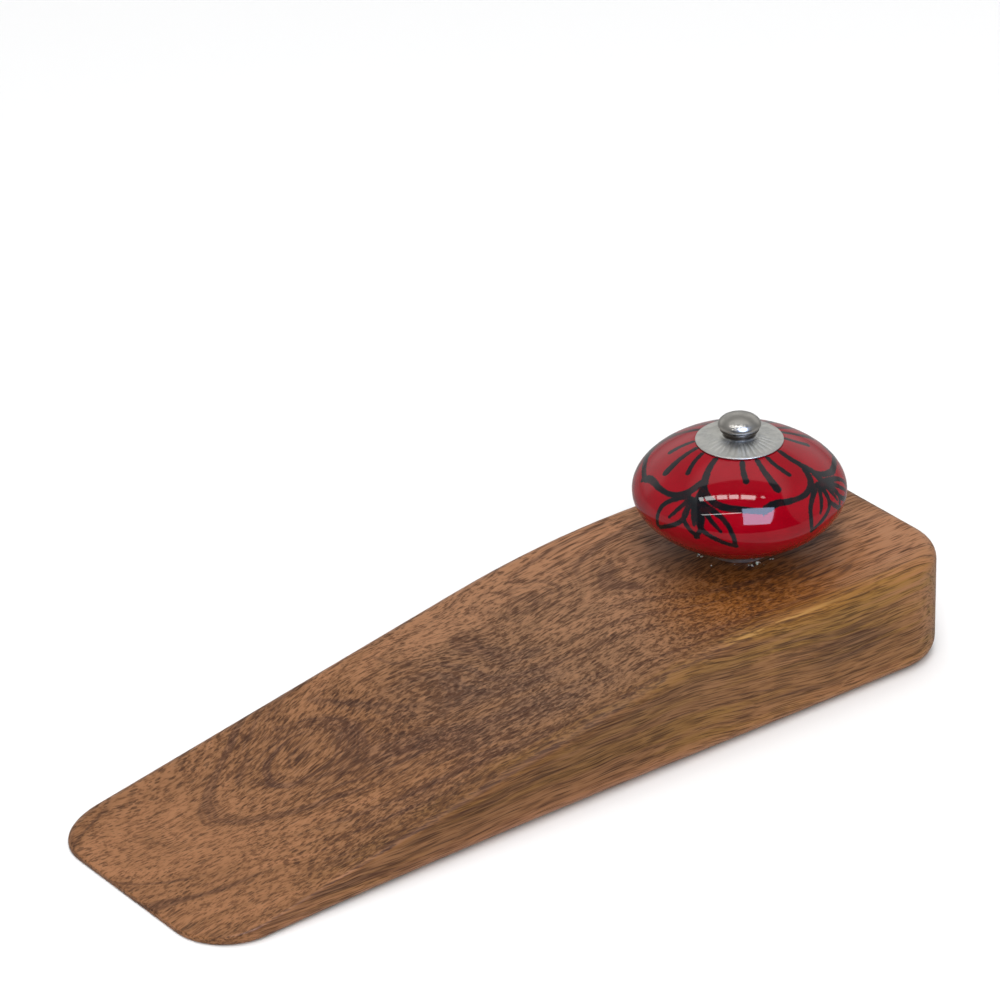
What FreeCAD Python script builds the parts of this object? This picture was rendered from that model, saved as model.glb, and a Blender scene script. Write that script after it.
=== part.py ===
"""Wooden door wedge with a glazed ceramic lifting knob, as an assembly of separate pieces.

Frame: millimetres, +Z up, origin at the centre of the base. The thin toe is at -X and the heel at +X.
The knob stands on the level heel. Its bolt runs down through the block to a nut in a counterbore.
"""

import math
import os

import FreeCAD
import Part
from FreeCAD import Vector

# Wedge block
LENGTH = 178.0
WIDTH = 56.0
HEEL_HEIGHT = 23.3
TOE_THICKNESS = 1.2
FLAT_LENGTH = 62.3  # from the heel to the corner where ramp and flat top would meet
CREST_RADIUS = 220.0  # blend between the ramp and the flat top
TOE_CORNER_RADIUS = 12.0
HEEL_CORNER_RADIUS = 13.0
TOP_EDGE_ROUNDING = 3.0
TOE_EDGE_ROUNDING = 0.45
BASE_TOE_ROUNDING = 0.4  # the base edge's rounding at the toe, where its long sides start, and at the heel
BASE_SIDE_ROUNDING = 1.6
BASE_HEEL_ROUNDING = 3.6

# Knob
KNOB_FROM_HEEL = 33.5
KNOB_RADIUS = 20.85
KNOB_WAIST_HEIGHT = 13.0  # widest level of the knob, above the block's top
KNOB_UPPER_SCALE = 12.5  # height each half would reach if its curve ran on to the axis
KNOB_LOWER_SCALE = 14.3
KNOB_UPPER_TAPER = 1.5  # power of the cosine in each half's radius, 1 being an ellipse
KNOB_LOWER_TAPER = 2.0
KNOB_SEAT_HEIGHT = 23.3  # flat top of the ceramic, above the block's top
KNOB_BORE_RADIUS = 2.4
FOOT_RADIUS = 6.8
BULGE_STEPS = 8  # points on each half of a turned bulge

# Metal pieces on the knob
BASE_PLATE_RADIUS = 6.5
BASE_PLATE_THICKNESS = 1.2
CAP_RADIUS = 8.55
CAP_SHEET = 0.45
CAP_RISE = 1.15
CAP_CROWN_RADIUS = 3.5
CAP_FLUTES = 36
FLUTE_RADIUS = 0.38
FLUTE_DEPTH = 0.12
FLUTE_SETBACK = 0.75  # from the crown's edge to where the flutes start
HEAD_RADIUS = 4.2
HEAD_HEIGHT = 4.1
HEAD_WAIST_HEIGHT = 1.95
HEAD_DOME_TAPER = 1.15
HEAD_BELLY_SCALE = 1.2
HEAD_GROOVE_RADIUS = 3.65
HEAD_BEAD_RADIUS = 3.85
HEAD_BEAD_HEIGHT = 0.5
HEAD_COLLAR_RADIUS = 3.1
HOLE_CLEARANCE_RADIUS = 2.2

# M4 hardware
THREAD_RADIUS = 2.0
THREAD_PITCH = 0.7
THREAD_DEPTH = 0.43
THREAD_LENGTH = 14.0
THREAD_CLEARANCE = 0.04
BOLT_HOLE_RADIUS = 2.5
COUNTERBORE_RADIUS = 7.5
COUNTERBORE_DEPTH = 12.0
PLAIN_WASHER_RADIUS = 4.5
PLAIN_WASHER_THICKNESS = 0.8
LOCK_WASHER_RADIUS = 3.8
LOCK_WASHER_THICKNESS = 0.9
LOCK_WASHER_SLIT = 0.8
LOCK_WASHER_SLIT_TILT = 25.0
NUT_ACROSS_FLATS = 7.0
NUT_HEIGHT = 3.2
NUT_CHAMFER = 30.0
BOLT_PAST_NUT = 1.5

# Levels and places that follow from the sizes above
TOE_X = -LENGTH / 2
HEEL_X = LENGTH / 2
CREST_X = HEEL_X - FLAT_LENGTH
KNOB_X = HEEL_X - KNOB_FROM_HEEL
RAMP_ANGLE = math.atan2(HEEL_HEIGHT - TOE_THICKNESS, CREST_X - TOE_X)
CREST_REACH = CREST_RADIUS * math.tan(RAMP_ANGLE / 2)  # from that corner to either end of the blend
CREST_START_X = CREST_X - CREST_REACH * math.cos(RAMP_ANGLE)
FLAT_START_X = CREST_X + CREST_REACH
WAIST_Z = HEEL_HEIGHT + KNOB_WAIST_HEIGHT
SEAT_Z = HEEL_HEIGHT + KNOB_SEAT_HEIGHT
FOOT_Z = HEEL_HEIGHT + BASE_PLATE_THICKNESS
HEAD_Z = SEAT_Z + CAP_RISE + CAP_SHEET
PLAIN_WASHER_Z = COUNTERBORE_DEPTH - PLAIN_WASHER_THICKNESS
LOCK_WASHER_Z = PLAIN_WASHER_Z - LOCK_WASHER_THICKNESS
NUT_Z = LOCK_WASHER_Z - NUT_HEIGHT
BOLT_END_Z = NUT_Z - BOLT_PAST_NUT

UP = Vector(0, 0, 1)
KNOB_AXIS = Vector(KNOB_X, 0, 0)


def segments(points):
    """Straight edges through the points, in order."""
    return [Part.makeLine(a, b) for a, b in zip(points, points[1:])]


def turned(edges):
    """The solid made by turning a closed outline in the XZ plane round Z, set on the knob's axis."""
    face = Part.Face(Part.Wire(edges))
    solid = face.revolve(Vector(0, 0, 0), UP, 360)
    solid.translate(KNOB_AXIS)
    return solid


def turned_outline(points):
    """A turned solid whose outline is straight between (radius, height) points."""
    corners = [Vector(r, 0, z) for r, z in points]
    return turned(segments(corners + corners[:1]))


def ring(outer, inner, low, high):
    """A plain ring on the knob's axis."""
    return turned_outline([(inner, low), (outer, low), (outer, high), (inner, high)])


def half_bulge(radius, waist_z, scale, taper, end_angle):
    """Points of a bulging outline from its waist to an angle above it, or below it if negative."""
    points = []
    for step in range(BULGE_STEPS + 1):
        angle = end_angle * step / BULGE_STEPS
        points.append(Vector(radius * math.cos(angle) ** taper, 0, waist_z + scale * math.sin(angle)))
    return points


def bulge(lower, upper):
    """One smooth edge through two half bulges that share their waist, from the bottom up."""
    curve = Part.BSplineCurve()
    curve.interpolate(lower[::-1] + upper[1:])
    return curve.toShape()


def wedge_profile():
    """Side outline of the wedge as a face in the XZ plane: base, heel, flat top, crest arc and ramp."""
    half_angle = RAMP_ANGLE / 2
    flat_end = Vector(FLAT_START_X, 0, HEEL_HEIGHT)
    ramp_end = Vector(
        CREST_START_X,
        0,
        HEEL_HEIGHT - CREST_REACH * math.sin(RAMP_ANGLE),
    )
    crest = Vector(
        FLAT_START_X - CREST_RADIUS * math.sin(half_angle),
        0,
        HEEL_HEIGHT - CREST_RADIUS * (1 - math.cos(half_angle)),
    )
    toe_low, toe_high = Vector(TOE_X, 0, 0), Vector(TOE_X, 0, TOE_THICKNESS)
    heel_low, heel_high = Vector(HEEL_X, 0, 0), Vector(HEEL_X, 0, HEEL_HEIGHT)
    edges = segments([ramp_end, toe_high, toe_low, heel_low, heel_high, flat_end])
    edges.append(Part.Arc(flat_end, crest, ramp_end).toShape())
    return Part.Face(Part.Wire(edges))


def plan_outline():
    """Outline of the wedge from above as a face: a rectangle with rounded corners."""
    half = WIDTH / 2
    toe, heel = TOE_CORNER_RADIUS, HEEL_CORNER_RADIUS
    bend = 1 - math.sqrt(0.5)
    low_toe = [(TOE_X, -half + toe), (TOE_X + bend * toe, -half + bend * toe), (TOE_X + toe, -half)]
    low_heel = [
        (HEEL_X - heel, -half),
        (HEEL_X - bend * heel, -half + bend * heel),
        (HEEL_X, -half + heel),
    ]
    corners = [low_toe, low_heel]
    for corner in (low_heel, low_toe):
        corners.append([(x, -y) for x, y in reversed(corner)])
    edges = []
    for corner, following in zip(corners, corners[1:] + corners[:1]):
        start, middle, end = [Vector(x, y, 0) for x, y in corner]
        edges.append(Part.Arc(start, middle, end).toShape())
        edges.append(Part.makeLine(end, Vector(*following[0], 0)))
    return Part.Face(Part.Wire(edges))


def top_rounding(point):
    """Radius of the top edge's rounding: small round the toe, full from the crest's start on."""
    toe_straight = TOE_X + TOE_CORNER_RADIUS
    share = (point.x - toe_straight) / (CREST_START_X - toe_straight)
    share = min(max(share, 0.0), 1.0)
    return TOE_EDGE_ROUNDING + (TOP_EDGE_ROUNDING - TOE_EDGE_ROUNDING) * share


def base_rounding(point):
    """Radius of the base edge's rounding, which grows round the toe's corners and then on to the heel."""
    side_start, side_end = TOE_X + TOE_CORNER_RADIUS, HEEL_X - HEEL_CORNER_RADIUS
    round_corner = min((point.x - TOE_X) / TOE_CORNER_RADIUS, 1.0)
    along_side = min(max((point.x - side_start) / (side_end - side_start), 0.0), 1.0)
    corner_growth = (BASE_SIDE_ROUNDING - BASE_TOE_ROUNDING) * round_corner
    return BASE_TOE_ROUNDING + corner_growth + (BASE_HEEL_ROUNDING - BASE_SIDE_ROUNDING) * along_side


def on_base(edge):
    """Whether an edge lies in the plane of the base."""
    return all(abs(v.Point.z) < 1e-6 for v in edge.Vertexes)


def on_top(edge):
    """Whether an edge is one of the sharp block's top edges: neither on the base nor upright."""
    start, end = [v.Point for v in edge.Vertexes]
    upright = abs(start.x - end.x) < 1e-6 and abs(start.y - end.y) < 1e-6
    return not upright and not on_base(edge)


def rounded(block, chosen, radius_at):
    """The block with its chosen edges rounded, in one feature with a radius at each edge's ends."""
    document = FreeCAD.newDocument("wedge")
    base = document.addObject("Part::Feature", "block")
    base.Shape = block
    radii = []
    for index, edge in enumerate(block.Edges, 1):
        if chosen(edge):
            radii.append((index, *[radius_at(v.Point) for v in edge.Vertexes]))
    feature = document.addObject("Part::Fillet", "edges")
    feature.Base = base
    feature.Edges = radii
    document.recompute()
    shape = feature.Shape.copy()
    FreeCAD.closeDocument(document.Name)
    return shape


def wedge_block():
    """The wooden wedge: ramp and flat top, soft edges, the bolt's hole and its counterbore."""
    side = wedge_profile().extrude(Vector(0, WIDTH, 0))
    side.translate(Vector(0, -WIDTH / 2, 0))
    plan = plan_outline().extrude(UP * HEEL_HEIGHT)
    block = rounded(side.common(plan).Solids[0], on_top, top_rounding)
    block = rounded(block, on_base, base_rounding)
    hole = Part.makeCylinder(BOLT_HOLE_RADIUS, HEEL_HEIGHT, KNOB_AXIS)
    counterbore = Part.makeCylinder(COUNTERBORE_RADIUS, COUNTERBORE_DEPTH, KNOB_AXIS)
    return block.cut(hole).cut(counterbore)


def base_plate():
    """Thin metal plate between the block and the ceramic, with a bevelled rim."""
    bevel = BASE_PLATE_THICKNESS / 3
    return turned_outline(
        [
            (HOLE_CLEARANCE_RADIUS, HEEL_HEIGHT),
            (BASE_PLATE_RADIUS, HEEL_HEIGHT),
            (BASE_PLATE_RADIUS, FOOT_Z - bevel),
            (BASE_PLATE_RADIUS - bevel, FOOT_Z),
            (HOLE_CLEARANCE_RADIUS, FOOT_Z),
        ]
    )


def knob_body():
    """The ceramic knob: a flattened ball with a flat seat on top, a short foot and a bore."""
    seat_angle = math.asin((SEAT_Z - WAIST_Z) / KNOB_UPPER_SCALE)
    foot_angle = math.acos((FOOT_RADIUS / KNOB_RADIUS) ** (1 / KNOB_LOWER_TAPER))
    upper = half_bulge(KNOB_RADIUS, WAIST_Z, KNOB_UPPER_SCALE, KNOB_UPPER_TAPER, seat_angle)
    lower = half_bulge(KNOB_RADIUS, WAIST_Z, KNOB_LOWER_SCALE, KNOB_LOWER_TAPER, -foot_angle)
    inside = [
        upper[-1],
        Vector(KNOB_BORE_RADIUS, 0, SEAT_Z),
        Vector(KNOB_BORE_RADIUS, 0, FOOT_Z),
        Vector(FOOT_RADIUS, 0, FOOT_Z),
        lower[-1],
    ]
    return turned([bulge(lower, upper)] + segments(inside))


def fluted_cap():
    """Dished sheet-metal cap on the ceramic's seat, with radial flutes pressed into its slope."""
    crown_z = SEAT_Z + CAP_RISE
    cap = turned_outline(
        [
            (CAP_RADIUS, SEAT_Z),
            (CAP_RADIUS, SEAT_Z + CAP_SHEET),
            (CAP_CROWN_RADIUS, crown_z + CAP_SHEET),
            (HOLE_CLEARANCE_RADIUS, crown_z + CAP_SHEET),
            (HOLE_CLEARANCE_RADIUS, crown_z),
            (CAP_CROWN_RADIUS, crown_z),
        ]
    )
    slope = Vector(CAP_RADIUS - CAP_CROWN_RADIUS, 0, -CAP_RISE)
    outward = Vector(slope).normalize()
    upward = Vector(-outward.z, 0, outward.x)
    slope_top = Vector(CAP_CROWN_RADIUS, 0, crown_z + CAP_SHEET)
    start = slope_top + outward * FLUTE_SETBACK + upward * (FLUTE_RADIUS - FLUTE_DEPTH)
    flutes = []
    for i in range(CAP_FLUTES):
        flute = Part.makeCylinder(FLUTE_RADIUS, slope.Length, start, outward)
        flute.rotate(Vector(0, 0, 0), UP, 360.0 * i / CAP_FLUTES)
        flute.translate(KNOB_AXIS)
        flutes.append(flute)
    return cap.cut(flutes)


def thread_outline(low, high, crest_radius, root_radius):
    """(radius, height) points of ring-shaped threads from low up to high, starting and ending at the root."""
    turns = int((high - low) / THREAD_PITCH)
    points = [(root_radius, low)]
    for i in range(turns):
        z = low + i * THREAD_PITCH
        points.append((crest_radius, z + THREAD_PITCH / 2))
        points.append((root_radius, z + THREAD_PITCH))
    return points


def knob_bolt():
    """Domed head with a bead under its rim, plain shank and a threaded end."""
    waist_z = HEAD_Z + HEAD_WAIST_HEIGHT
    dome_height = HEAD_HEIGHT - HEAD_WAIST_HEIGHT
    groove_angle = math.acos(HEAD_GROOVE_RADIUS / HEAD_RADIUS)
    dome = half_bulge(HEAD_RADIUS, waist_z, dome_height, HEAD_DOME_TAPER, math.pi / 2)
    belly = half_bulge(HEAD_RADIUS, waist_z, HEAD_BELLY_SCALE, 1, -groove_angle)
    bead_high = belly[-1]
    bead_low = bead_high - UP * HEAD_BEAD_HEIGHT
    bead_middle = Vector(HEAD_BEAD_RADIUS, 0, (bead_high.z + bead_low.z) / 2)
    bead = Part.Arc(bead_high, bead_middle, bead_low).toShape()
    thread_root = THREAD_RADIUS - THREAD_DEPTH
    thread = thread_outline(BOLT_END_Z, BOLT_END_Z + THREAD_LENGTH, THREAD_RADIUS, thread_root)
    below_head = [
        bead_low,
        Vector(HEAD_COLLAR_RADIUS, 0, bead_low.z),
        Vector(HEAD_COLLAR_RADIUS, 0, HEAD_Z),
        Vector(THREAD_RADIUS, 0, HEAD_Z),
        Vector(THREAD_RADIUS, 0, thread[-1][1] + THREAD_DEPTH),
    ]
    shank = [Vector(r, 0, z) for r, z in reversed(thread)]
    axis = [Vector(0, 0, BOLT_END_Z), dome[-1]]
    return turned([bulge(belly, dome), bead] + segments(below_head + shank + axis))


def plain_washer():
    """Flat washer against the counterbore's ceiling."""
    return ring(PLAIN_WASHER_RADIUS, HOLE_CLEARANCE_RADIUS, PLAIN_WASHER_Z, COUNTERBORE_DEPTH)


def lock_washer():
    """Split spring washer, drawn as tightened flat, with its slanting slit."""
    washer = ring(LOCK_WASHER_RADIUS, HOLE_CLEARANCE_RADIUS, LOCK_WASHER_Z, PLAIN_WASHER_Z)
    slit = Part.makeBox(
        LOCK_WASHER_RADIUS,
        LOCK_WASHER_SLIT,
        3 * LOCK_WASHER_THICKNESS,
        Vector(0, -LOCK_WASHER_SLIT / 2, -1.5 * LOCK_WASHER_THICKNESS),
    )
    slit.rotate(Vector(0, 0, 0), Vector(1, 0, 0), LOCK_WASHER_SLIT_TILT)
    slit.translate(Vector(KNOB_X + 1, 0, LOCK_WASHER_Z + LOCK_WASHER_THICKNESS / 2))
    return washer.cut(slit)


def hex_nut():
    """M4 hexagon nut with chamfered corners and ring-shaped threads that mesh with the bolt's."""
    corner = NUT_ACROSS_FLATS / 2 / math.cos(math.radians(30))
    points = [
        Vector(corner * math.cos(math.radians(60 * i)), corner * math.sin(math.radians(60 * i)), NUT_Z)
        for i in range(6)
    ]
    prism = Part.Face(Part.makePolygon(points + points[:1])).extrude(UP * NUT_HEIGHT)
    prism.translate(KNOB_AXIS)
    flat_radius = NUT_ACROSS_FLATS / 2
    drop = (corner - flat_radius) * math.tan(math.radians(NUT_CHAMFER))
    top = NUT_Z + NUT_HEIGHT
    chamfers = turned_outline(
        [
            (0, NUT_Z),
            (flat_radius, NUT_Z),
            (corner, NUT_Z + drop),
            (corner, top - drop),
            (flat_radius, top),
            (0, top),
        ]
    )
    thread = thread_outline(
        BOLT_END_Z,
        COUNTERBORE_DEPTH,
        THREAD_RADIUS + THREAD_CLEARANCE,
        THREAD_RADIUS - THREAD_DEPTH + THREAD_CLEARANCE,
    )
    hole = turned_outline([(0, BOLT_END_Z)] + thread + [(0, thread[-1][1])])
    return prism.common(chamfers).cut(hole)


PARTS = {
    "wedge_block": wedge_block,
    "base_plate": base_plate,
    "knob_body": knob_body,
    "fluted_cap": fluted_cap,
    "knob_bolt": knob_bolt,
    "plain_washer": plain_washer,
    "lock_washer": lock_washer,
    "hex_nut": hex_nut,
}


def main():
    os.makedirs("parts", exist_ok=True)
    for name, make in PARTS.items():
        shape = make()
        solids = shape.Solids
        if not solids or not all(s.isValid() for s in solids):
            raise RuntimeError(f"{name} has no valid solid")
        shape = solids[0] if len(solids) == 1 else Part.makeCompound(solids)
        shape.exportStep(f"parts/{name}.step")
        print(f"{name}: {len(solids)} solid, {shape.Volume:.1f} mm3")


main()
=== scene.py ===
"""Looks of the wooden door wedge with its painted ceramic knob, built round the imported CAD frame."""

import math
import random

import bpy
from mathutils import Matrix, Vector, kdtree, noise


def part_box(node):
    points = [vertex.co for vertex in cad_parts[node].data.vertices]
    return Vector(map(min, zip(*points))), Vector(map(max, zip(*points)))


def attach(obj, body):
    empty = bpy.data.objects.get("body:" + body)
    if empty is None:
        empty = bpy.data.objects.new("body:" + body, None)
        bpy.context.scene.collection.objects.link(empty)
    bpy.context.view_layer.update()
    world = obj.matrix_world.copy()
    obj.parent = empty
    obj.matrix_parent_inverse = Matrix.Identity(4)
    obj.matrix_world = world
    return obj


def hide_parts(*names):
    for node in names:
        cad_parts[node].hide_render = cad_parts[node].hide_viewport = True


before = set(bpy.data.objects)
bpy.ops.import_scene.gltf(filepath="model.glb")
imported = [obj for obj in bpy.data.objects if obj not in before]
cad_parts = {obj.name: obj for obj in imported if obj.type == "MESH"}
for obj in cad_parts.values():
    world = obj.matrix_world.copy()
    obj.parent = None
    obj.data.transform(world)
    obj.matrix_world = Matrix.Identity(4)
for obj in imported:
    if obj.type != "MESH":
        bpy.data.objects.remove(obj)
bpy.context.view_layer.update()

MM = 0.001

# Camera: the direction it looks from, its distance and its lens
CAMERA_AZIMUTH = -36.54
CAMERA_ELEVATION = 28.0
CAMERA_ROLL = -1.23
CAMERA_DISTANCE = 1.0773
CAMERA_AIM = (18.33 * MM, 27.67 * MM, 34.67 * MM)
SENSOR_WIDTH = 36.0
LENS = 200.36

# Knob, in millimetres where no unit is given; the heights come from the frame
KNOB_UPPER_SCALE = 12.5
KNOB_LOWER_SCALE = 14.3
KNOB_UPPER_TAPER = 1.5
KNOB_LOWER_TAPER = 2.0
KNOB_WAIST_ABOVE_FOOT = 11.8
KNOB_BORE_RADIUS = 2.4
FOOT_RADIUS = 6.8
KNOB_RINGS = 130
KNOB_SEGMENTS = 480
GLAZE_UNEVENNESS = 0.05


def corners(node):
    """Lowest and highest corner of a CAD node, in millimetres."""
    low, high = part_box(node)
    return low / MM, high / MM


BLOCK_LOW, BLOCK_HIGH = corners("wedge_block")
KNOB_LOW, KNOB_HIGH = corners("knob_body")
CAP_LOW, CAP_HIGH = corners("fluted_cap")
BOLT_LOW, BOLT_HIGH = corners("knob_bolt")
AXIS_X = (KNOB_LOW.x + KNOB_HIGH.x) / 2
KNOB_RADIUS = (KNOB_HIGH.x - KNOB_LOW.x) / 2
WAIST_Z = KNOB_LOW.z + KNOB_WAIST_ABOVE_FOOT
SEAT_ANGLE = math.asin((KNOB_HIGH.z - WAIST_Z) / KNOB_UPPER_SCALE)
FOOT_ANGLE = -math.acos((FOOT_RADIUS / KNOB_RADIUS) ** (1 / KNOB_LOWER_TAPER))


class Graph:
    """Builds the nodes of a material or world. An input given as a socket is linked, any other is set."""

    def __init__(self, tree):
        self.tree = tree
        tree.nodes.clear()

    def node(self, kind, inputs=None, **settings):
        made = self.tree.nodes.new(kind)
        for name, value in settings.items():
            setattr(made, name, value)
        for name, value in (inputs or {}).items():
            self.feed(made.inputs[name], value)
        return made

    def feed(self, socket, value):
        if isinstance(value, bpy.types.NodeSocket):
            self.tree.links.new(value, socket)
        else:
            socket.default_value = value

    def math(self, operation, *values):
        return self.node("ShaderNodeMath", dict(enumerate(values)), operation=operation).outputs[0]

    def vector(self, operation, *values):
        inputs = dict(enumerate(values))
        made = self.node("ShaderNodeVectorMath", inputs, operation=operation)
        return made.outputs["Value" if operation in ("LENGTH", "DOT_PRODUCT") else "Vector"]

    def fade(self, value, low, high, start=0.0, end=1.0):
        """A smooth step of value, from start at low to end at high."""
        inputs = {"Value": value, "From Min": low, "From Max": high, "To Min": start, "To Max": end}
        made = self.node("ShaderNodeMapRange", inputs, interpolation_type="SMOOTHSTEP")
        return made.outputs["Result"]

    def mix(self, factor, first, second):
        """Two colours mixed; a plain colour is (r, g, b)."""
        made = self.node("ShaderNodeMix", data_type="RGBA")
        colours = [s for s in made.inputs if s.type == "RGBA"]
        self.feed(made.inputs["Factor"], factor)
        for socket, colour in zip(colours, (first, second)):
            self.feed(socket, colour if isinstance(colour, bpy.types.NodeSocket) else (*colour, 1))
        return next(s for s in made.outputs if s.type == "RGBA")

    def noise(self, vector, scale=1.0, detail=2.0, roughness=0.5, output="Fac"):
        inputs = {"Vector": vector, "Scale": scale, "Detail": detail, "Roughness": roughness}
        return self.node("ShaderNodeTexNoise", inputs).outputs[output]

    def stretched(self, place, lengths):
        """A place divided by a length along each axis."""
        return self.vector("MULTIPLY", place, tuple(1 / length for length in lengths))

    def zone_distance(self, place, centre, radii):
        """Distance from the centre of an ellipsoid zone: 1 on its surface."""
        return self.vector("LENGTH", self.vector("DIVIDE", self.vector("SUBTRACT", place, centre), radii))

    def line_distance(self, place, start, end):
        """Distance, seen from above, from a point to the line between two others."""
        start, end = Vector((*start, 0)), Vector((*end, 0))
        along = end - start
        flat = self.vector("MULTIPLY", self.vector("SUBTRACT", place, tuple(start)), (1, 1, 0))
        share = self.vector("DOT_PRODUCT", flat, tuple(along / along.length_squared))
        foot = self.node("ShaderNodeVectorMath", operation="SCALE")
        foot.inputs["Vector"].default_value = along
        self.feed(foot.inputs["Scale"], self.math("MINIMUM", self.math("MAXIMUM", share, 0.0), 1.0))
        return self.vector("LENGTH", self.vector("SUBTRACT", flat, foot.outputs["Vector"]))

    def place(self):
        """Object-space position in millimetres."""
        coordinates = self.node("ShaderNodeTexCoord").outputs["Object"]
        return self.vector("MULTIPLY", coordinates, (1 / MM, 1 / MM, 1 / MM))

    def finish(self, shader, output="ShaderNodeOutputMaterial"):
        self.node(output, {"Surface": shader})


def new_material(name):
    material = bpy.data.materials.new(name)
    material.use_nodes = True
    return material, Graph(material.node_tree)


# ---------------------------------------------------------------- materials

# Where the wood is darker, or lighter if negative: centre and radii in millimetres, then strength. Most
# zones follow the wood's figure; the marked ones are painted light.
FIGURE_SHADE_AND_SHEEN_ZONES = [
    ((-28, 7, 12), (30, 12, 12), 0.65),
    ((-10, -6, 15), (36, 15, 14), 0.85),
    ((20, -4, 20), (16, 14, 8), -0.5),
    # painted sheen: lighter at the toe
    ((-76, 0, 3), (30, 34, 8), -0.45),
    # painted sheen: lighter along the far edge
    ((22, 23, 18), (42, 11, 14), -1.4),
    ((75, 20, 22), (11, 9, 8), 0.6),
    ((-18, -21, 12), (56, 9, 12), 0.7),
    ((-14, -28, 3), (40, 6, 5), -1.2),
    ((42, -22, 23), (16, 6, 5), 0.9),
    # painted sheen: lighter on the heel's top
    ((79, -10, 23), (12, 9, 6), -0.7),
    ((72, -28, 14), (10, 5, 7), 0.9),
    # painted sheen: lighter at the heel's near corner
    ((84, -22, 18), (20, 15, 14), -2.0),
    ((59, -28, 12), (12, 6, 4), 1.2),
    # painted shade of the knob: darker just in front of it
    ((52, -13, 22), (15, 9, 6), 1.0),
]
RING_CENTRE = (0.0, 8.0, 44.0)  # a point on the line the growth rings turn about, along X
# Where the rings close into ovals: centre and radii in millimetres, how far they are pushed out, and
# how strongly their edges show
KNOTS = [
    ((-44, 8, 9), (15, 10, 12), 8.0, 0.6),
    ((13, 12, 20), (14, 9, 12), 6.0, 0.45),
    ((-16, 2, 14), (14, 9, 12), 3.0, 0.35),
]
# Thin dark lines in the figure, seen from above: start and end in millimetres, half width, strength
VEINS = [
    ((-33, 20), (-27, 11), 1.3, 0.55),
    ((-27, 11), (-22, 4), 1.1, 0.5),
    ((-22, 4), (1, -10), 0.9, 0.4),
    ((-17, 22), (-16, 17), 0.7, 0.5),
    ((-16, 17), (-10, 13), 0.7, 0.45),
    ((-55, 8), (-51, 1), 0.9, 0.45),
    ((-51, 1), (-37, -4), 0.9, 0.45),
    ((11, 20), (14, 12), 0.8, 0.45),
    ((14, 12), (17, 6), 0.7, 0.4),
    ((6, 17), (8, 9), 0.8, 0.4),
]
KNOB_REFLECTION_CENTRE = (53.0, -14.0, 23.0)  # painted reflection of the red knob, with its painted shade, on the heel in front of it
KNOB_REFLECTION_RADII = (26.0, 14.0, 6.0)
CREST_SHEEN_CENTRE = (7.0, 0.0, 18.0)  # painted sheen across the crest, greyer
CREST_SHEEN_RADII = (36.0, 44.0, 14.0)
EDGE_HIGHLIGHT_CENTRE = (40.5, -27.0, 22.4)  # painted highlight, pale and golden, along the heel's near top edge
EDGE_HIGHLIGHT_RADII = (19.0, 0.36, 0.6)
SWIRL_CENTRE = (-42.0, 14.0, 0.0)  # where the grain turns aside
SWIRL_RADII = (42.0, 20.0, 60.0)
SWIRL_ANGLE = math.radians(-18)

# Where along one axis, in millimetres, something starts and where it is full
DIVE_ALONG = (15.0, 64.0)  # the grain dives towards the heel
DIVE_ACROSS = (8.0, -10.0)
DIVE_EASED = (-22.0, -27.5)  # and dives less at the near side
DIVE_DEPTH = 9.5
NEAR_SIDE_ACROSS = (-21.0, -27.5)
NEAR_SIDE_ALONG = (-75.0, -30.0)
NEAR_SIDE_SHADE_ENDS = (0.0, 50.0)
PALE_STRIP_UP = (5.5, 2.0)  # the paler strip low on the near side
TOE_ALONG = (-50.0, -75.0)

# Lengths of noise and pores along the grain, across it and through it, in millimetres
WANDER_LENGTHS = (42, 30, 30)
WANDER_REACH = (0, 5.0, 4.5)
RING_LENGTHS = (70, 1.7)  # along the grain, and from ring to ring
CLOUD_LENGTHS = (16, 7, 5)
WARMTH_LENGTHS = (50, 5, 3)
WIGGLE_LENGTHS = (5, 4, 4)
FLECK_LENGTHS = (6.5, 0.5, 0.28)
STREAK_LENGTHS = (12, 1.1, 0.6)
KNOT_LINE_SPACING = 2.6
PORE_SETS = ((9, 0.55, 0.0), (15, 0.85, 41.0))  # length, spacing, and a shift that sets them apart
PORE_FLATNESS = 1.5
GRAIN_DEPTH = 0.05

PALE_WOOD = (0.32, 0.143, 0.064)
BROWN_WOOD = (0.205, 0.091, 0.036)
DARK_WOOD = (0.110, 0.050, 0.027)
YELLOW_WOOD = (0.25, 0.125, 0.022)
# painted reflection of the red knob, with its painted shade
KNOB_REFLECTION_WOOD = (0.245, 0.080, 0.008)
# painted sheen
CREST_SHEEN_WOOD = (0.17, 0.115, 0.075)
RING_LINE = (0.08, 0.034, 0.019)
KNOT_LINE = (0.06, 0.026, 0.016)
VEIN_LINE = (0.05, 0.022, 0.014)
SHADED_WOOD = (0.105, 0.042, 0.013)
STRIP_WOOD = (0.42, 0.17, 0.07)
DARK_FIBRE = (0.062, 0.022, 0.008)
LIGHT_FIBRE = (0.36, 0.178, 0.088)
PORE = (0.028, 0.012, 0.006)
# painted highlight of the heel's near top edge
EDGE_HIGHLIGHT_WOOD = (0.42, 0.23, 0.07)


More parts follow.
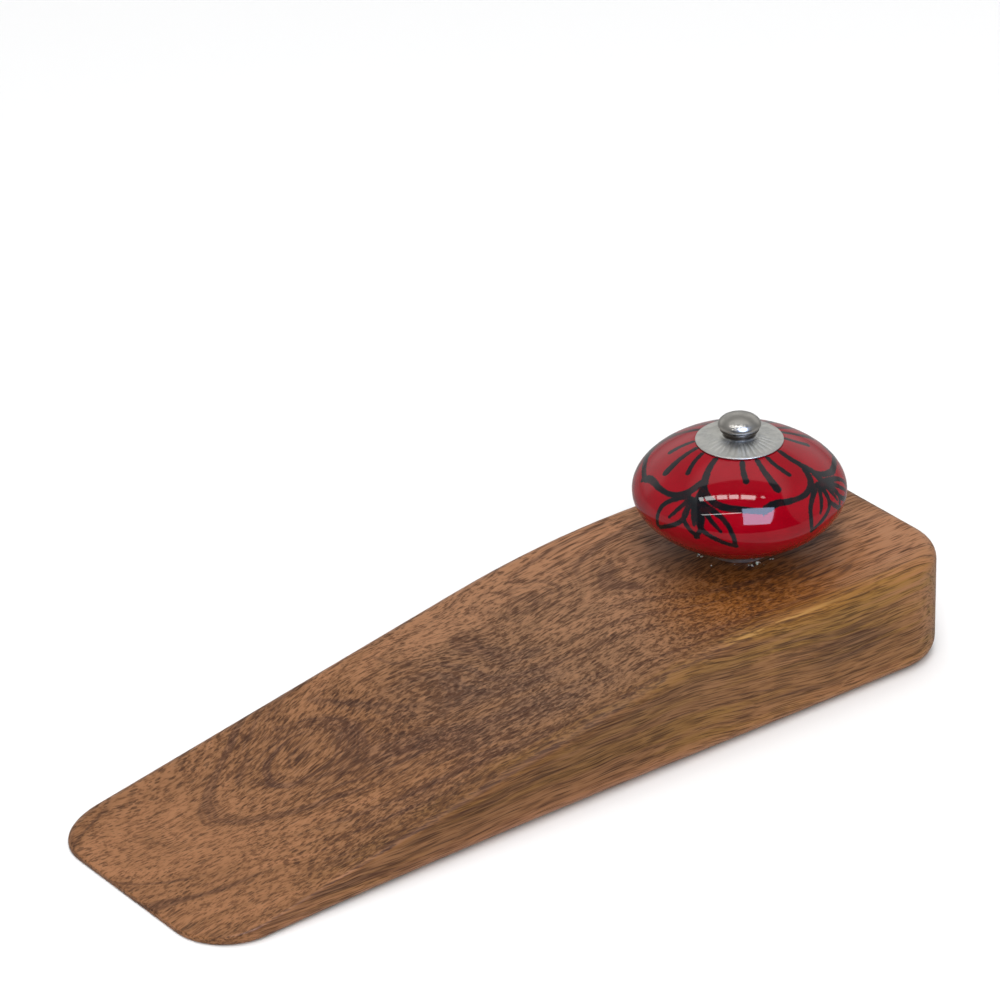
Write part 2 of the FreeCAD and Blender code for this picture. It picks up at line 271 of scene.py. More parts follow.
def wood_grain(g, place, wander, x, y):
    """A place in the grain, which wanders, dives towards the heel and turns aside at the swirl."""
    dive = g.math("MULTIPLY", g.fade(x, *DIVE_ALONG, 0.0, DIVE_DEPTH), g.fade(y, *DIVE_ACROSS))
    dive = g.math("MULTIPLY", dive, g.fade(y, *DIVE_EASED, 1.0, 0.45))
    sunk = g.node("ShaderNodeCombineXYZ", {"Z": dive}).outputs["Vector"]
    grain = g.vector("ADD", g.vector("ADD", place, wander), sunk)
    swirl = g.zone_distance(place, SWIRL_CENTRE, SWIRL_RADII)
    turn = g.node(
        "ShaderNodeVectorRotate",
        {"Vector": grain, "Center": SWIRL_CENTRE, "Angle": g.fade(swirl, 0.3, 1.2, SWIRL_ANGLE, 0.0)},
        rotation_type="Z_AXIS",
    )
    return turn.outputs["Vector"]


def wood_rings(g, grain):
    """Radius of the growth ring that a place is on, and how strongly a knot's edges show there."""
    across = g.vector("MULTIPLY", g.vector("SUBTRACT", grain, RING_CENTRE), (0, 1, 1))
    radius = g.vector("LENGTH", across)
    figure = 0.0
    for centre, radii, height, strength in KNOTS:
        distance = g.zone_distance(grain, centre, radii)
        radius = g.math("ADD", radius, g.fade(distance, 0.0, 1.2, height, 0.0))
        figure = g.math("MAXIMUM", figure, g.fade(distance, 1.5, 0.8, 0.0, strength))
    return radius, figure


def ring_noise(g, grain, radius):
    """Noise that is long along the grain and changes from ring to ring."""
    ring_length, ring_spacing = RING_LENGTHS
    along = g.node("ShaderNodeSeparateXYZ", {"Vector": grain}).outputs["X"]
    along = g.math("MULTIPLY", along, 1 / ring_length)
    around = g.math("MULTIPLY", radius, 1 / ring_spacing)
    place = g.node("ShaderNodeCombineXYZ", {"X": along, "Y": around}).outputs["Vector"]
    return g.noise(place, 1.0, 4.0, 0.65)


def wood_tone(g, rings, clouds, zone_place):
    """How dark the wood is, from its rings, clouds and zones; some zones are painted sheen and painted
    shade.
    """
    tone = g.math("MULTIPLY", g.math("SUBTRACT", rings, 0.5), 3.4)
    tone = g.math("ADD", tone, g.math("MULTIPLY", g.math("SUBTRACT", clouds, 0.5), 1.6))
    for centre, radii, strength in FIGURE_SHADE_AND_SHEEN_ZONES:
        distance = g.zone_distance(zone_place, centre, radii)
        tone = g.math("ADD", tone, g.fade(distance, 0.2, 1.3, strength, 0.0))
    return tone


def broad_colour(g, tone, rings, warmth, zone_place):
    """Colour of the wood at arm's length: its tone, warm side, dark rings, and patches: a painted
    reflection and shade of the knob in front of it, and a painted sheen across the crest.
    """
    base = g.mix(g.fade(tone, -1.2, 0.3), PALE_WOOD, BROWN_WOOD)
    base = g.mix(g.fade(tone, 0.1, 1.3), base, DARK_WOOD)
    base = g.mix(warmth, base, YELLOW_WOOD)
    # the knob's red reflection and its shade, painted on the heel in front of it
    knob_reflection = g.zone_distance(zone_place, KNOB_REFLECTION_CENTRE, KNOB_REFLECTION_RADII)
    base = g.mix(g.fade(knob_reflection, 0.5, 1.2, 0.8, 0.0), base, KNOB_REFLECTION_WOOD)
    # painted sheen across the crest, mixed towards grey
    crest_sheen = g.zone_distance(zone_place, CREST_SHEEN_CENTRE, CREST_SHEEN_RADII)
    base = g.mix(g.fade(crest_sheen, 0.3, 1.2, 0.3, 0.0), base, CREST_SHEEN_WOOD)
    return g.mix(g.fade(rings, 0.54, 0.64, 0.0, 0.65), base, RING_LINE)


def wood_lines(g, base, grain, radius, figure, clouds, zone_place):
    """The colour with the knots' edges and the thin veins drawn over it."""
    wiggle = g.math("MULTIPLY", g.noise(g.stretched(grain, WIGGLE_LENGTHS), 1.0, 3.0), 0.8)
    edges = g.math("PINGPONG", g.math("MULTIPLY_ADD", radius, 1 / KNOT_LINE_SPACING, wiggle), 0.5)
    figure = g.math("MULTIPLY", figure, g.fade(clouds, 0.4, 0.55))
    base = g.mix(g.math("MULTIPLY", figure, g.fade(edges, 0.12, 0.03)), base, KNOT_LINE)
    veins = 0.0
    for start, end, half_width, strength in VEINS:
        distance = g.line_distance(zone_place, start, end)
        veins = g.math("MAXIMUM", veins, g.fade(distance, half_width, 0.1, 0.0, strength))
    return g.mix(veins, base, VEIN_LINE)


def wood_pores(g, grain, tone, clouds):
    """How much of each point is an open pore. Darker wood has more of them."""
    crowding = g.math("ADD", g.math("MULTIPLY", tone, 0.04), g.math("MULTIPLY", clouds, 0.08))
    pores = 0.0
    for length, spacing, shift in PORE_SETS:
        place = g.vector("ADD", grain, (shift, shift, shift))
        place = g.stretched(place, (length, spacing, spacing / PORE_FLATNESS))
        cells = g.node("ShaderNodeTexVoronoi", {"Vector": place, "Scale": 1.0})
        size = g.node("ShaderNodeSeparateColor", {"Color": cells.outputs["Color"]}).outputs["Red"]
        reach = g.math("ADD", g.math("MULTIPLY", size, 0.2), crowding)
        distance = g.math("SUBTRACT", cells.outputs["Distance"], reach)
        pores = g.math("MAXIMUM", pores, g.fade(distance, 0.15, 0.07))
    return pores


def wood():
    """Open-grained brown hardwood.

    Its pores run along X, so they show as streaks on the sides and as flecks on the ramp.
    """
    material, g = new_material("oiled_wood")
    place = g.place()
    parts = g.node("ShaderNodeSeparateXYZ", {"Vector": place})
    x, y, z = (parts.outputs[axis] for axis in "XYZ")
    wander = g.noise(g.stretched(place, WANDER_LENGTHS), 1.0, 3.0, output="Color")
    wander = g.vector("MULTIPLY", g.vector("SUBTRACT", wander, (0.5, 0.5, 0.5)), WANDER_REACH)
    zone_place = g.vector("ADD", place, wander)
    grain = wood_grain(g, place, wander, x, y)
    radius, figure = wood_rings(g, grain)
    rings = ring_noise(g, grain, radius)
    clouds = g.noise(g.stretched(grain, CLOUD_LENGTHS), 1.0, 6.0, 0.62)
    tone = wood_tone(g, rings, clouds, zone_place)

    near_side = g.math("MULTIPLY", g.fade(y, *NEAR_SIDE_ACROSS), g.fade(x, *NEAR_SIDE_ALONG))
    warm = g.noise(g.stretched(grain, WARMTH_LENGTHS), 1.0, 3.0)
    warmth = g.math("MULTIPLY", g.fade(warm, 0.42, 0.6, 0.2, 0.85), near_side)
    base = broad_colour(g, tone, rings, warmth, zone_place)
    base = wood_lines(g, base, grain, radius, figure, clouds, zone_place)
    shade = g.math("MULTIPLY", near_side, g.fade(x, *NEAR_SIDE_SHADE_ENDS, 0.5, 0.0))
    base = g.mix(shade, base, SHADED_WOOD)
    strip = g.math("MULTIPLY", near_side, g.fade(z, *PALE_STRIP_UP, 0.0, 0.5))
    base = g.mix(strip, base, STRIP_WOOD)

    fleck = g.noise(g.stretched(grain, FLECK_LENGTHS), 1.0, 2.0, 0.6)
    streak = g.noise(g.stretched(grain, STREAK_LENGTHS), 1.0, 3.0, 0.6)
    fibre = g.math("ADD", g.math("MULTIPLY", fleck, 0.62), g.math("MULTIPLY", streak, 0.38))
    fibre = g.math("MULTIPLY_ADD", tone, 0.016, fibre)
    calm = g.math("MULTIPLY", g.math("MAXIMUM", near_side, g.fade(x, *TOE_ALONG)), -0.2)
    darkness = g.math("MULTIPLY", g.fade(fibre, 0.46, 0.62), g.math("ADD", calm, 0.85))
    base = g.mix(darkness, base, DARK_FIBRE)
    lightness = g.math("MULTIPLY", g.fade(fibre, 0.53, 0.36), g.math("ADD", calm, 0.45))
    base = g.mix(lightness, base, LIGHT_FIBRE)
    pores = wood_pores(g, grain, tone, clouds)
    base = g.mix(g.math("MULTIPLY", pores, 0.55), base, PORE)
    # painted highlight along the heel's near top edge, broken up by the streaks
    wear_and_highlight = g.fade(g.zone_distance(place, EDGE_HIGHLIGHT_CENTRE, EDGE_HIGHLIGHT_RADII), 0.5, 1.3, 0.7, 0.0)
    base = g.mix(g.math("MULTIPLY", wear_and_highlight, g.fade(streak, 0.58, 0.5)), base, EDGE_HIGHLIGHT_WOOD)

    height = g.math("SUBTRACT", g.math("MULTIPLY", fibre, 0.5), pores)
    bump = g.node("ShaderNodeBump", {"Height": height, "Strength": 0.25, "Distance": GRAIN_DEPTH * MM})
    roughness = g.math("ADD", g.fade(fibre, 0.42, 0.58, 0.32, 0.46), g.math("MULTIPLY", pores, 0.2))
    shader = g.node(
        "ShaderNodeBsdfPrincipled",
        {"Base Color": base, "Roughness": roughness, "IOR": 1.28, "Normal": bump.outputs["Normal"]},
    )
    g.finish(shader.outputs[0])
    return material


INK = (0.006, 0.007, 0.009)
RED_GLAZE = ((0.225, 0.0004, 0.0060), (0.265, 0.0010, 0.008))
BARE_CERAMIC = ((0.42, 0.38, 0.34), (0.62, 0.58, 0.53))
# painted shade under the bolt's head
PAINTED_SHADE = (0.09, 0.075, 0.06)
WHITE_GLUE = ((0.62, 0.60, 0.56), (0.82, 0.80, 0.76))
PALE_FLOOR = ((0.86, 0.86, 0.86), (0.88, 0.88, 0.88))


def glaze():
    """Deep red glaze with black brush lines under the gloss."""
    material, g = new_material("red_glaze")
    place = g.place()
    edge = g.node("ShaderNodeAttribute", attribute_name="ink_edge").outputs["Fac"]
    ragged = g.math("MULTIPLY", g.math("SUBTRACT", g.noise(place, 1.3, 3.0), 0.5), 0.35)
    ink = g.fade(g.math("ADD", edge, ragged), 0.14, -0.12)
    streak = g.fade(g.noise(place, 0.5, 2.0), 0.4, 0.8, 1.0, 0.93)
    mottle = g.noise(place, 0.16, 3.0)
    red = g.mix(g.fade(mottle, 0.3, 0.7), *RED_GLAZE)
    colour = g.mix(g.math("MULTIPLY", ink, streak), red, INK)
    shader = g.node("ShaderNodeBsdfPrincipled", {"Base Color": colour, "Roughness": 0.05, "IOR": 1.4})
    g.finish(shader.outputs[0])
    return material


def bisque():
    """Pale unglazed ceramic of the foot."""
    material, g = new_material("unglazed_foot")
    speck = g.noise(g.place(), 2.5, 3.0)
    colour = g.mix(speck, *BARE_CERAMIC)
    bump = g.node("ShaderNodeBump", {"Height": speck, "Strength": 0.3, "Distance": 0.05 * MM})
    shader = g.node(
        "ShaderNodeBsdfPrincipled",
        {"Base Color": colour, "Roughness": 0.75, "Normal": bump.outputs["Normal"]},
    )
    g.finish(shader.outputs[0])
    return material


def metal(name, colour, low, high, scale, shade_heights=None):
    """Plated metal, a little uneven in tone and between two roughnesses.

    The last argument is two heights in millimetres, between which the metal turns from painted shade
    below to its own tone above.
    """
    material, g = new_material(name)
    place = g.place()
    cloud = g.noise(place, scale, 4.0, 0.6)
    wear_and_highlight = [c * 0.8 for c in colour]
    tone = g.mix(g.fade(cloud, 0.35, 0.7), colour, wear_and_highlight)
    # painted shade below the given heights, with an uneven border
    if shade_heights:
        height = g.node("ShaderNodeSeparateXYZ", {"Vector": place}).outputs["Z"]
        uneven = g.math("MULTIPLY_ADD", cloud, 0.5, height)
        tone = g.mix(g.fade(uneven, *shade_heights), PAINTED_SHADE, tone)
    roughness = g.fade(cloud, 0.3, 0.7, low, high)
    shader = g.node(
        "ShaderNodeBsdfPrincipled", {"Base Color": tone, "Metallic": 1.0, "Roughness": roughness}
    )
    g.finish(shader.outputs[0])
    return material


def glue():
    """Dried white glue."""
    material, g = new_material("dried_glue")
    cloud = g.noise(g.place(), 3.0, 2.0)
    colour = g.mix(cloud, *WHITE_GLUE)
    shader = g.node(
        "ShaderNodeBsdfPrincipled",
        {"Base Color": colour, "Roughness": 0.45, "Subsurface Weight": 0.2, "Subsurface Scale": MM},
    )
    g.finish(shader.outputs[0])
    return material


def floor_paper():
    """Plain pale floor."""
    material, g = new_material("pale_floor")
    cloud = g.noise(g.place(), 0.004, 2.0)
    colour = g.mix(cloud, *PALE_FLOOR)
    shader = g.node("ShaderNodeBsdfPrincipled", {"Base Color": colour, "Roughness": 0.8})
    g.finish(shader.outputs[0])
    return material


# ---------------------------------------------------------------- meshes


def new_object(name, points, faces, materials, face_materials=None):
    """A mesh object from points in millimetres."""
    mesh = bpy.data.meshes.new(name)
    mesh.from_pydata([tuple(MM * c for c in p) for p in points], [], faces)
    for material in materials:
        mesh.materials.append(material)
    if face_materials is not None:
        mesh.polygons.foreach_set("material_index", face_materials)
    mesh.polygons.foreach_set("use_smooth", [True] * len(mesh.polygons))
    mesh.update()
    made = bpy.data.objects.new(name, mesh)
    bpy.context.scene.collection.objects.link(made)
    return made


def grid_faces(rows, columns, closed_rows=False):
    """Quads over a grid of points whose columns wrap round."""
    faces = []
    for i in range(rows if closed_rows else rows - 1):
        for j in range(columns):
            a, b = i * columns + j, i * columns + (j + 1) % columns
            c, d = ((i + 1) % rows) * columns + j, ((i + 1) % rows) * columns + (j + 1) % columns
            faces.append((a, b, d, c))
    return faces


def knob_surface(azimuth, angle):
    """Point of the knob's surface: azimuth about its axis, and angle above its waist, in radians."""
    upper = angle > 0
    taper = KNOB_UPPER_TAPER if upper else KNOB_LOWER_TAPER
    scale = KNOB_UPPER_SCALE if upper else KNOB_LOWER_SCALE
    radius = KNOB_RADIUS * math.cos(angle) ** taper
    return Vector(
        (
            AXIS_X + radius * math.sin(azimuth),
            -radius * math.cos(azimuth),
            WAIST_Z + scale * math.sin(angle),
        )
    )


# Painted flower, in degrees: azimuth from a petal's first edge, and height angle on the knob.
# Each stroke is its points and its width in millimetres at the start, middle and end.
PETALS = 4
FIRST_PETAL = -69.0
BRUSH_SEED = 11
BRUSH_SHIFT = (1.2, 0.6)  # how far a stroke may stray, in degrees each way
STROKE_SPACING = 0.35  # degrees between the points along a stroke
PETAL_STROKES = [
    ([(0, 60), (-1, 50), (1, 42), (4, 33), (3, 26)], (1.0, 1.5, 2.1)),
    ([(1, 38), (8, 30), (18, 25), (30, 23.5), (44, 21)], (1.2, 1.5, 1.2)),
    ([(44, 21), (52, 25), (63, 24.5), (74, 25), (84, 30), (90, 38)], (1.9, 1.1, 1.6)),
    ([(34, 60), (34, 50), (36, 42)], (1.0, 1.1, 1.3)),
    ([(51, 60), (53, 48), (57, 34)], (1.0, 1.2, 1.7)),
    ([(66, 60), (69, 50), (74, 41)], (0.9, 1.0, 1.1)),
]
# Base, tip and half width of each leaf at a petal's first edge
LEAVES = [
    ((-3, 27), (-18, -4), 7.5),
    ((1, 26), (7, -2), 6.5),
    ((6, 25), (29, -7), 8.0),
]
# Along the leaf and out from its midrib, as shares of its length and half width
LEAF_OUTLINE = [(0.0, 0.1), (0.25, 0.75), (0.5, 0.95), (0.78, 0.55), (1.0, 0.0)]
LEAF_WIDTHS = (1.3, 1.0, 0.9)
MIDRIB_WIDTHS = (1.1, 0.9, 0.6)
MIDRIB_SHARES = (0.12, 0.4, 0.62)


def leaf_strokes(base, tip, half_width):
    """Outline and midrib of a pointed leaf."""
    base, tip = Vector(base), Vector(tip)
    along = tip - base
    across = Vector((-along.y, along.x)).normalized() * half_width
    strokes = []
    for side in (-1, 1):
        points = [base + along * t + across * side * w for t, w in LEAF_OUTLINE]
        strokes.append((points, LEAF_WIDTHS))
    strokes.append(([base + along * share for share in MIDRIB_SHARES], MIDRIB_WIDTHS))
    return strokes


def smooth_line(points, spacing):
    """Points along a Catmull-Rom curve through the given ones, each with its share of the way."""
    points = [Vector(p) for p in points]
    padded = [2 * points[0] - points[1], *points, 2 * points[-1] - points[-2]]
    spans = len(points) - 1
    line = []
    for k in range(spans):
        p0, p1, p2, p3 = padded[k : k + 4]
        steps = max(2, int((p2 - p1).length / spacing))
        for i in range(steps + (k == spans - 1)):
            t = i / steps
            bend = (p0 * 2 - p1 * 5 + p2 * 4 - p3) * t**2
            twist = (p1 * 3 - p0 - p2 * 3 + p3) * t**3
            position = (p1 * 2 + (p2 - p0) * t + bend + twist) / 2
            line.append((position, (k + t) / spans))
    return line


def brush_width(widths, share):
    """Width of a stroke a share of the way along it."""
    first, middle, last = widths
    if share < 0.5:
        return first + (middle - first) * 2 * share
    return middle + (last - middle) * (2 * share - 1)


def painted_points():
    """Points along every brush stroke, on the knob's surface, with half the brush's width at each."""
    chance = random.Random(BRUSH_SEED)
    painted = []
    for petal in range(PETALS):
        start = FIRST_PETAL + petal * 360 / PETALS
        strokes = list(PETAL_STROKES)
        for leaf in LEAVES:
            strokes += leaf_strokes(*leaf)
        for points, widths in strokes:
            shift = Vector([chance.uniform(-reach, reach) for reach in BRUSH_SHIFT])
            for position, share in smooth_line(points, STROKE_SPACING):
                azimuth, angle = position + shift
                point = knob_surface(math.radians(start + azimuth), math.radians(angle))
                painted.append((point, brush_width(widths, share) / 2))
    return painted


FOOT_EDGE_WIDTH = 0.5
FOOT_EDGE_HEIGHT = 0.15
DENT_SIZE = 7.0  # how broad the glaze's unevenness is, in millimetres


def knob_outline():
    """Radius and height of the knob's rings, and how many of them, from the foot, are bare ceramic."""
    foot_z, seat_z = KNOB_LOW.z, KNOB_HIGH.z
    bare = [
        (KNOB_BORE_RADIUS, foot_z),
        (FOOT_RADIUS - FOOT_EDGE_WIDTH, foot_z),
        (FOOT_RADIUS, foot_z + FOOT_EDGE_HEIGHT),
    ]
    curve = []
    for i in range(KNOB_RINGS):
        angle = FOOT_ANGLE + (SEAT_ANGLE - FOOT_ANGLE) * i / (KNOB_RINGS - 1)
        point = knob_surface(math.pi / 2, angle)
        curve.append((point.x - AXIS_X, point.z))
    return bare + curve + [(KNOB_BORE_RADIUS, seat_z)], len(bare)


def ink_edges(points):
    """Distance from each point to the nearest brush line's edge, negative inside the line."""
    painted = painted_points()
    tree = kdtree.KDTree(len(painted))
    for i, (point, _) in enumerate(painted):
        tree.insert(point, i)
    tree.balance()
    edges = []
    for point in points:
        _, index, distance = tree.find(point)
        edges.append(distance - painted[index][1])
    return edges


def ceramic_knob():
    """The knob's body, with each point's distance to the nearest brush line kept for the glaze."""
    outline, bare_rings = knob_outline()
    points, face_materials = [], []
    for i, (radius, z) in enumerate(outline):
        unevenness = GLAZE_UNEVENNESS if KNOB_LOW.z < z < KNOB_HIGH.z else 0.0
        for j in range(KNOB_SEGMENTS):
            azimuth = 2 * math.pi * j / KNOB_SEGMENTS
            x, y = radius * math.sin(azimuth), -radius * math.cos(azimuth)
            dent = 0.5 + 0.5 * noise.noise(Vector((x, y, z)) / DENT_SIZE)
            shrink = 1 - unevenness * dent / radius
            points.append((AXIS_X + x * shrink, y * shrink, z))
        face_materials += [0 if i >= bare_rings else 1] * KNOB_SEGMENTS
    faces = grid_faces(len(outline), KNOB_SEGMENTS, True)
    knob = new_object("ceramic_knob", points, faces, [glaze(), bisque()], face_materials)
    attribute = knob.data.attributes.new("ink_edge", "FLOAT", "POINT")
    attribute.data.foreach_set("value", ink_edges(points))
    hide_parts("knob_body")
    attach(knob, "root")


# Cap sizes in millimetres
CAP_SHEET = 0.45
CAP_CROWN_RADIUS = 3.5
CAP_HOLE_RADIUS = 2.2
CAP_FLUTES = 36
CAP_SEGMENTS = 504
CAP_ROWS = 22
FLUTE_DEPTH = 0.12
FLUTE_RISE = 0.8  # how far out from the crown a flute takes to reach its depth
FLUTE_END = 0.3  # how far inside the rim the flutes end, and how far they take to do it
FLUTE_FALL = 0.5
CAP_RADIUS = (CAP_HIGH.x - CAP_LOW.x) / 2
CAP_SLOPE_WIDTH = CAP_RADIUS - CAP_CROWN_RADIUS
# Points round the rolled rim and the crown's edge: how far inside the cap's or crown's radius, and how
# far above the cap's lowest level or below its highest
CAP_RIM = [(0.25, 0.0), (0.03, 0.28), (0.0, 0.36), (0.06, CAP_SHEET), (0.22, CAP_SHEET + 0.02)]
CAP_CROWN_EDGE = [(0.08, 0.03), (0.25, 0.0)]
CAP_SLOPE_INSET = 0.34
CAP_SLOPE_DROP = 0.12
SATIN_NICKEL = (0.68, 0.67, 0.62)


def cap_slope(radius, top):
    """Height of the cap's slope at a radius, where it starts from a top level at the crown."""
    share = (radius - CAP_CROWN_RADIUS) / CAP_SLOPE_WIDTH
    return top - (top - CAP_LOW.z - CAP_SHEET) * share


def cap_ripple(radius, z, azimuth):
    """How far a point of the cap is pressed in by its flutes."""
    fluted = CAP_CROWN_RADIUS < radius < CAP_RADIUS - FLUTE_END
    if not fluted or z <= cap_slope(radius, CAP_HIGH.z) - CAP_SHEET / 2:
        return 0.0
    start, end = (radius - CAP_CROWN_RADIUS) / FLUTE_RISE, (CAP_RADIUS - FLUTE_END - radius) / FLUTE_FALL
    uneven = 0.6 + 0.8 * noise.noise(Vector((math.sin(azimuth), math.cos(azimuth), 0)) * 3.0)
    wave = 0.5 + 0.5 * math.sin(CAP_FLUTES * azimuth + 0.5 * math.sin(5 * azimuth))
    return FLUTE_DEPTH * min(1.0, start, end) * max(0.2, uneven) * wave**2


def cap_outline():
    """Radius and height round the section of the cap's sheet."""
    low, high = CAP_LOW.z, CAP_HIGH.z
    outline = [(CAP_HOLE_RADIUS, high - CAP_SHEET), (CAP_CROWN_RADIUS, high - CAP_SHEET)]
    outline += [(CAP_RADIUS - inset, low + rise) for inset, rise in CAP_RIM]
    for i in range(CAP_ROWS):
        share = i / (CAP_ROWS - 1)
        radius = CAP_RADIUS - CAP_SLOPE_INSET - (CAP_SLOPE_WIDTH - CAP_SLOPE_INSET) * share
        outline.append((radius, cap_slope(radius, high - CAP_SLOPE_DROP)))
    outline += [(CAP_CROWN_RADIUS - inset, high - drop) for inset, drop in CAP_CROWN_EDGE]
    outline.append((CAP_HOLE_RADIUS, high))
    return outline


def fluted_cap():
    """The dished cap with its pressed flutes, a rolled rim and a raised ring round the bolt's head."""
    outline = cap_outline()
    points = []
    for radius, z in outline:
        for j in range(CAP_SEGMENTS):
            azimuth = 2 * math.pi * j / CAP_SEGMENTS
            x, y = radius * math.sin(azimuth), -radius * math.cos(azimuth)
            points.append((AXIS_X + x, y, z - cap_ripple(radius, z, azimuth)))
    nickel = metal("satin_nickel", SATIN_NICKEL, 0.34, 0.46, 0.6)
    cap = new_object("pressed_cap", points, grid_faces(len(outline), CAP_SEGMENTS, True), [nickel])
    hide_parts("fluted_cap")
    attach(cap, "root")


# Larger crumbs: azimuth in degrees, distance from the knob's axis and half width in millimetres
CRUMBS = [
    (-106, 8.5, 0.30),
    (-99, 8.4, 0.24),
    (-103, 9.0, 0.16),
    (-74, 9.5, 0.16),
    (-26, 7.9, 0.18),
    (-22, 8.2, 0.26),
    (-13, 7.8, 0.40),
    (-8, 7.6, 0.22),
    (13, 8.2, 0.18),
]
SMALL_CRUMBS = 12
SMALL_CRUMB_RANGES = ((0, 360), (6.9, 9.0), (0.08, 0.14))  # the same three values, drawn at random
CRUMB_SEED = 5
CRUMB_ROWS = 5
CRUMB_COLUMNS = 8
CRUMB_STRETCHES = ((0.6, 1.5), (0.6, 1.4), (0.5, 0.9))  # between which each axis is drawn
CRUMB_BUMPS = 0.45
CRUMB_LIFT = 0.8  # how high a crumb's centre lies, as a share of its half height


def crumb(centre, size, chance):
    """Points and faces of one irregular crumb lying on the block."""
    points = []
    stretch = Vector([chance.uniform(*span) for span in CRUMB_STRETCHES])
    lift = Vector((0, 0, stretch.z * size * CRUMB_LIFT))
    for i in range(CRUMB_ROWS):
        angle = math.pi * (i + 0.5) / CRUMB_ROWS
        for j in range(CRUMB_COLUMNS):
            azimuth = 2 * math.pi * j / CRUMB_COLUMNS
            ring = math.sin(angle)
            ball = Vector((ring * math.cos(azimuth), ring * math.sin(azimuth), math.cos(angle)))
            bump = 1 + CRUMB_BUMPS * noise.noise(ball * 1.7 + centre * 3)
            points.append(centre + ball * stretch * size * bump + lift)
    faces = grid_faces(CRUMB_ROWS, CRUMB_COLUMNS)
    faces.append(tuple(range(CRUMB_COLUMNS)))
    faces.append(tuple(reversed(range(len(points) - CRUMB_COLUMNS, len(points)))))
    return points, faces


def glue_crumbs():
    """Dried glue that squeezed out round the knob's foot."""
    chance = random.Random(CRUMB_SEED)
    places = list(CRUMBS)
    for _ in range(SMALL_CRUMBS):
        places.append([chance.uniform(*span) for span in SMALL_CRUMB_RANGES])
    all_points, all_faces = [], []
    for azimuth, radius, size in places:
        azimuth = math.radians(azimuth)
        centre = Vector((AXIS_X + radius * math.sin(azimuth), -radius * math.cos(azimuth), BLOCK_HIGH.z))
        points, faces = crumb(centre, size, chance)
        all_faces += [tuple(len(all_points) + i for i in face) for face in faces]
        all_points += points
    crumbs = new_object("glue_crumbs", all_points, all_faces, [glue()])
    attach(crumbs, "root")


# ---------------------------------------------------------------- stage, lights and camera

# Strength of the world's light
SIDE_WALLS = 0.36
BACK_WALL = 0.75
BRIGHT_CEILING = 1.0
BACKDROP = 0.4  # how much of that light comes from low behind the object
WHITE_BELOW = 0.6
DIM_CEILING = 0.15
DARK_ROOM = 0.02

# Where a part of the world starts and ends, as the sine of an angle: forward is towards the camera's
# side, and up is above the horizon
BACK_WALL_FORWARD = (-0.35, -0.6)
BACK_WALL_UP = (0.66, 0.48)
CEILING_UP = (0.78, 0.9)
GROUND_UP = (0.0, -0.03)
BACKDROP_UP = (0.25, 0.0)
BACKDROP_FORWARD = (-0.3, -0.6)
ROOM_LEFT = (0.33, 0.49)  # the dark room's left side: its slope against forward, and where it stands
ROOM_RIGHT = (0.33, 0.72)
ROOM_RIGHT_LEAN = 0.27
ROOM_EDGE = (-0.01, 0.01)
ROOM_UP = (-0.07, -0.05)
ROOM_FORWARD = (-0.17, -0.15)
ROOM_DARKENS = (-0.05, 0.08)

# Lights: the two directions a panel spans, in degrees, its width in degrees and its radiance
PANEL_DISTANCE = 2.0
WINDOW = ((-34.7, 46.0), (2.4, 39.5), 38, 13.0)
WINDOW_COLOUR = (0.55, 0.68, 1.0)
STRIP = ((-86.5, 40.5), (-36.3, 57.2), 1.4, 18.0)
SPOT = ((25, 72), (33, 72), 3.0, 8.0)
KEY = ((-65, 61), (-5, 61), 85, 5.2)
FILL = ((-75, 20), (5, 20), 34, 1.0)
CEILING_TUBE = ((-116, 60), (15, 76))
TUBE_SPANS = ((0.0, 0.09), (0.12, 0.30), (0.33, 0.51), (0.54, 0.70), (0.74, 1.0))
TUBE_WIDTH = 5.0
TUBE_RADIANCE = 13.0

FLOOR_HALF_WIDTH = 3.0
CAMERA_CLIP = (0.05, 20)

ZINC = (0.85, 0.77, 0.71)
POLISHED_NICKEL = (0.46, 0.44, 0.40)
GROOVE_BELOW_TOP = (2.9, 1.7)  # painted shade in the groove under the bolt's head: full at the first depth and gone at the second, in millimetres below its top


def direction(azimuth, elevation):
    """Unit vector towards a compass direction: azimuth 0 is -Y, and 90 is +X."""
    azimuth, elevation = math.radians(azimuth), math.radians(elevation)
    flat = math.cos(elevation)
    return Vector((flat * math.sin(azimuth), -flat * math.cos(azimuth), math.sin(elevation)))


def bearing(towards):
    """Azimuth and elevation of a direction, in degrees."""
    level = math.hypot(towards.x, towards.y)
    return math.degrees(math.atan2(towards.x, -towards.y)), math.degrees(math.atan2(towards.z, level))


def panel(name, start, end, width, radiance, colour=(1, 1, 1)):
    """A light of even radiance facing the knob, seen from there between two directions, in degrees."""
    first, last = direction(*start) * PANEL_DISTANCE, direction(*end) * PANEL_DISTANCE
    centre = (first + last) / 2
    outward = centre.normalized()
    along = (last - first).normalized()
    data = bpy.data.lights.new(name, "AREA")
    data.shape = "RECTANGLE"
    data.size = (last - first).length
    data.size_y = 2 * math.tan(math.radians(width) / 2) * centre.length
    data.energy = radiance * math.pi * data.size * data.size_y
    data.color = colour
    light = bpy.data.objects.new(name, data)
    turn = Matrix((along, outward.cross(along), outward)).transposed()
    light.matrix_world = Matrix.Translation(Vector((AXIS_X, 0, WAIST_Z)) * MM + centre) @ turn.to_4x4()
    light.visible_camera = False
    bpy.context.scene.collection.objects.link(light)
    return light


